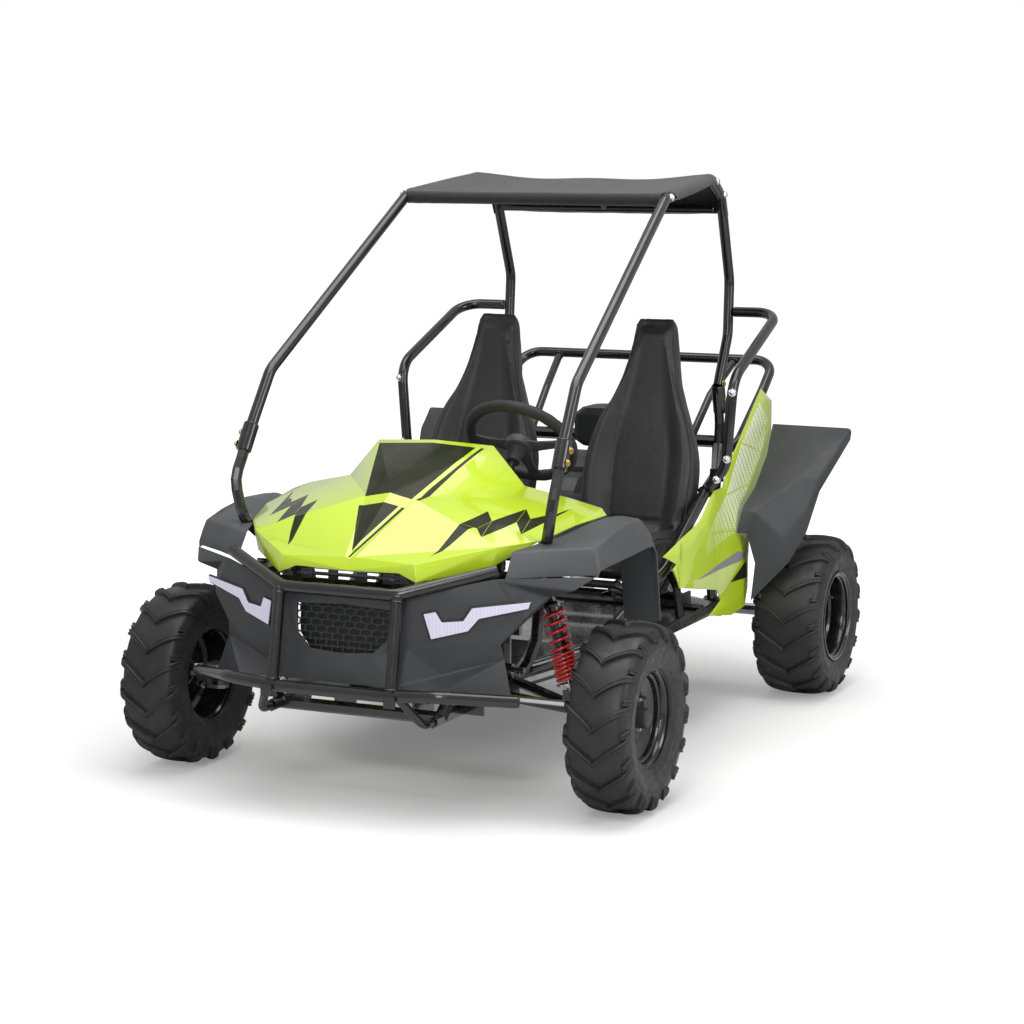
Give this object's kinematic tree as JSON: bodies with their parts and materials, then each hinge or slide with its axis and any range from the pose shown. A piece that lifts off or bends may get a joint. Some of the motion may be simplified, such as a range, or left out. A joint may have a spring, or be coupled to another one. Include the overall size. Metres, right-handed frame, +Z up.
{
  "type": "off-road go-kart",
  "caption": "Off-road go-kart with side-by-side bucket seats, a bolt-on roll cage under a cloth roof, coil-sprung front arms, a rear swing arm and chain drive.",
  "frame": {"origin": "on the ground under the middle of the length and width", "axes": "+Z up, -Y towards the nose, +X towards the kart's left, driver's side"},
  "size_m": [1.203, 1.8142, 1.3146],
  "materials": {
    "gloss_black": "gloss powder coat",
    "lime_gloss": "gloss moulded plastic",
    "grey_plastic": "fine-grained moulded plastic",
    "lamp_white": "pale lens",
    "tyre_rubber": "moulded tread rubber",
    "black_vinyl": "grained vinyl",
    "roof_cloth": "woven coated cloth",
    "spring_red": "gloss paint",
    "bright_steel": "bright zinc",
    "cast_grey": "cast",
    "wheel_grip": "soft moulded grip"
  },
  "bodies": {
    "chassis": {"bonnet": "lime_gloss", "canopy": "roof_cloth", "engine": "cast_grey", "floor_frame": "gloss_black", "front_bumper": "gloss_black", "front_frame": "gloss_black", "fuel_tank": "grey_plastic", "grille": "grey_plastic", "left_cage_side": "gloss_black", "left_front_fender": "grey_plastic", "left_headlamp": "lamp_white", "left_rear_fender": "grey_plastic", "left_seat": "black_vinyl", "left_side_bar": "gloss_black", "left_side_panel": "lime_gloss", "left_sill": "gloss_black", "nose_panel": "grey_plastic", "rear_frame": "gloss_black", "rear_hoop": "gloss_black", "right_cage_side": "gloss_black", "right_front_fender": "grey_plastic", "right_headlamp": "lamp_white", "right_rear_fender": "grey_plastic", "right_seat": "black_vinyl", "right_side_bar": "gloss_black", "right_side_panel": "lime_gloss", "right_sill": "gloss_black", "roof_frame": "gloss_black"},
    "swing_arm": {"swing_arm": "gloss_black", "drive_chain": "cast_grey"},
    "rear_axle": {"rear_axle": "bright_steel", "left_rear_rim": "gloss_black", "left_rear_tyre": "tyre_rubber", "right_rear_rim": "gloss_black", "right_rear_tyre": "tyre_rubber"},
    "jackshaft": {"jackshaft": "bright_steel"},
    "rear_damper": {"rear_damper": "gloss_black", "rear_spring": "spring_red"},
    "rear_damper_rod": {"rear_damper_rod": "bright_steel"},
    "steering_wheel": {"steering_wheel": "wheel_grip"},
    "lower_shaft": {"lower_shaft": "bright_steel"},
    "steering_rack": {"steering_rack": "bright_steel"},
    "throttle_pedal": {"throttle_pedal": "grey_plastic"},
    "brake_pedal": {"brake_pedal": "grey_plastic"},
    "left_front_arm": {"left_front_arm": "gloss_black"},
    "left_knuckle": {"left_knuckle": "gloss_black"},
    "left_front_wheel": {"left_front_rim": "gloss_black", "left_front_tyre": "tyre_rubber"},
    "left_tie_rod": {"left_tie_rod": "bright_steel"},
    "left_front_damper": {"left_front_damper": "gloss_black", "left_front_spring": "spring_red"},
    "left_front_damper_rod": {"left_front_damper_rod": "bright_steel"},
    "right_front_arm": {"right_front_arm": "gloss_black"},
    "right_knuckle": {"right_knuckle": "gloss_black"},
    "right_front_wheel": {"right_front_rim": "gloss_black", "right_front_tyre": "tyre_rubber"},
    "right_tie_rod": {"right_tie_rod": "bright_steel"},
    "right_front_damper": {"right_front_damper": "gloss_black", "right_front_spring": "spring_red"},
    "right_front_damper_rod": {"right_front_damper_rod": "bright_steel"}
  },
  "joints": [
    {"name": "steering_wheel_turn", "type": "hinge", "parent": "chassis", "child": "steering_wheel", "pos_m": [0.17, -0.3235, 0.735], "axis": [0, 0.7219, 0.6919], "range_deg": [-90, 90]},
    {"name": "lower_shaft_turn", "type": "hinge", "parent": "chassis", "child": "lower_shaft", "pos_m": [0.17, -0.4895, 0.576], "axis": [0.1792, 0.4838, 0.8566], "range_deg": [-90, 90]},
    {"name": "rack_slide", "type": "slide", "parent": "chassis", "child": "steering_rack", "axis": [1, 0, 0], "range_m": [-0.0423, 0.0423]},
    {"name": "left_front_arm_swing", "type": "hinge", "parent": "chassis", "child": "left_front_arm", "pos_m": [0.225, -0.5785, 0.24], "axis": [0, -1, 0], "range_deg": [-6, 10], "stiffness_Nm_per_rad": 1500, "springref_deg": -5.44},
    {"name": "left_steer", "type": "hinge", "parent": "left_front_arm", "child": "left_knuckle", "pos_m": [0.45, -0.5785, 0.203], "axis": [0, 0, 1], "range_deg": [-25, 25]},
    {"name": "left_front_wheel_spin", "type": "hinge", "parent": "left_knuckle", "child": "left_front_wheel", "pos_m": [0.53, -0.5785, 0.203], "axis": [1, 0, 0], "continuous": true},
    {"name": "left_tie_rod_slide", "type": "slide", "parent": "left_front_arm", "child": "left_tie_rod", "axis": [1, 0, 0], "range_m": [-0.0423, 0.0423]},
    {"name": "left_front_damper_tilt", "type": "hinge", "parent": "chassis", "child": "left_front_damper", "pos_m": [0.35, -0.5785, 0.455], "axis": [0, -1, 0], "range_deg": [-1.2, 2]},
    {"name": "left_front_damper_slide", "type": "slide", "parent": "left_front_damper", "child": "left_front_damper_rod", "axis": [-0.2384, 0, 0.9712], "range_m": [-0.0183, 0.0304], "deforming": ["left_front_spring"]},
    {"name": "right_front_arm_swing", "type": "hinge", "parent": "chassis", "child": "right_front_arm", "pos_m": [-0.225, -0.5785, 0.24], "axis": [0, 1, 0], "range_deg": [-6, 10], "stiffness_Nm_per_rad": 1500, "springref_deg": -5.44},
    {"name": "right_steer", "type": "hinge", "parent": "right_front_arm", "child": "right_knuckle", "pos_m": [-0.45, -0.5785, 0.203], "axis": [0, 0, 1], "range_deg": [-25, 25]},
    {"name": "right_front_wheel_spin", "type": "hinge", "parent": "right_knuckle", "child": "right_front_wheel", "pos_m": [-0.53, -0.5785, 0.203], "axis": [1, 0, 0], "continuous": true},
    {"name": "right_tie_rod_slide", "type": "slide", "parent": "right_front_arm", "child": "right_tie_rod", "axis": [1, 0, 0], "range_m": [-0.0423, 0.0423]},
    {"name": "right_front_damper_tilt", "type": "hinge", "parent": "chassis", "child": "right_front_damper", "pos_m": [-0.35, -0.5785, 0.455], "axis": [0, 1, 0], "range_deg": [-1.2, 2]},
    {"name": "right_front_damper_slide", "type": "slide", "parent": "right_front_damper", "child": "right_front_damper_rod", "axis": [0.2384, 0, 0.9712], "range_m": [-0.0183, 0.0304], "deforming": ["right_front_spring"]},
    {"name": "swing_arm_swing", "type": "hinge", "parent": "chassis", "child": "swing_arm", "pos_m": [0, 0.4515, 0.262], "axis": [1, 0, 0], "range_deg": [-5, 8], "stiffness_Nm_per_rad": 4000, "springref_deg": -3.9},
    {"name": "rear_axle_spin", "type": "hinge", "parent": "swing_arm", "child": "rear_axle", "pos_m": [0, 0.7045, 0.203], "axis": [1, 0, 0], "continuous": true},
    {"name": "jackshaft_spin", "type": "hinge", "parent": "chassis", "child": "jackshaft", "pos_m": [0, 0.4515, 0.262], "axis": [1, 0, 0], "continuous": true},
    {"name": "rear_damper_tilt", "type": "hinge", "parent": "chassis", "child": "rear_damper", "pos_m": [0, 0.6665, 0.6], "axis": [-1, 0, 0], "range_deg": [-0.3, 0.4]},
    {"name": "rear_damper_slide", "type": "slide", "parent": "rear_damper", "child": "rear_damper_rod", "axis": [0, -0.2873, 0.9578], "range_m": [-0.0265, 0.0423], "deforming": ["rear_spring"]},
    {"name": "throttle_press", "type": "hinge", "parent": "chassis", "child": "throttle_pedal", "pos_m": [0.178, -0.5585, 0.275], "axis": [1, 0, 0], "range_deg": [0, 18], "stiffness_Nm_per_rad": 3, "springref_deg": -22.92},
    {"name": "brake_press", "type": "hinge", "parent": "chassis", "child": "brake_pedal", "pos_m": [0.244, -0.5585, 0.275], "axis": [1, 0, 0], "range_deg": [0, 20], "stiffness_Nm_per_rad": 3, "springref_deg": -22.92}
  ],
  "couplings": [
    {"joint": "lower_shaft_turn", "follows": "steering_wheel_turn", "ratio": 1},
    {"joint": "rack_slide", "follows": "steering_wheel_turn", "m_per_rad": 0.02692},
    {"joint": "left_steer", "follows": "steering_wheel_turn", "ratio": 0.2777},
    {"joint": "left_tie_rod_slide", "follows": "steering_wheel_turn", "m_per_rad": 0.02692},
    {"joint": "left_front_damper_tilt", "follows": "left_front_arm_swing", "ratio": 0.19},
    {"joint": "left_front_damper_slide", "follows": "left_front_arm_swing", "m_per_rad": 0.1737},
    {"joint": "right_steer", "follows": "steering_wheel_turn", "ratio": 0.2777},
    {"joint": "right_tie_rod_slide", "follows": "steering_wheel_turn", "m_per_rad": 0.02692},
    {"joint": "right_front_damper_tilt", "follows": "right_front_arm_swing", "ratio": 0.19},
    {"joint": "right_front_damper_slide", "follows": "right_front_arm_swing", "m_per_rad": 0.1737},
    {"joint": "jackshaft_spin", "follows": "rear_axle_spin", "ratio": 3.5},
    {"joint": "rear_damper_tilt", "follows": "swing_arm_swing", "ratio": 0.04},
    {"joint": "rear_damper_slide", "follows": "swing_arm_swing", "m_per_rad": 0.302}
  ]
}
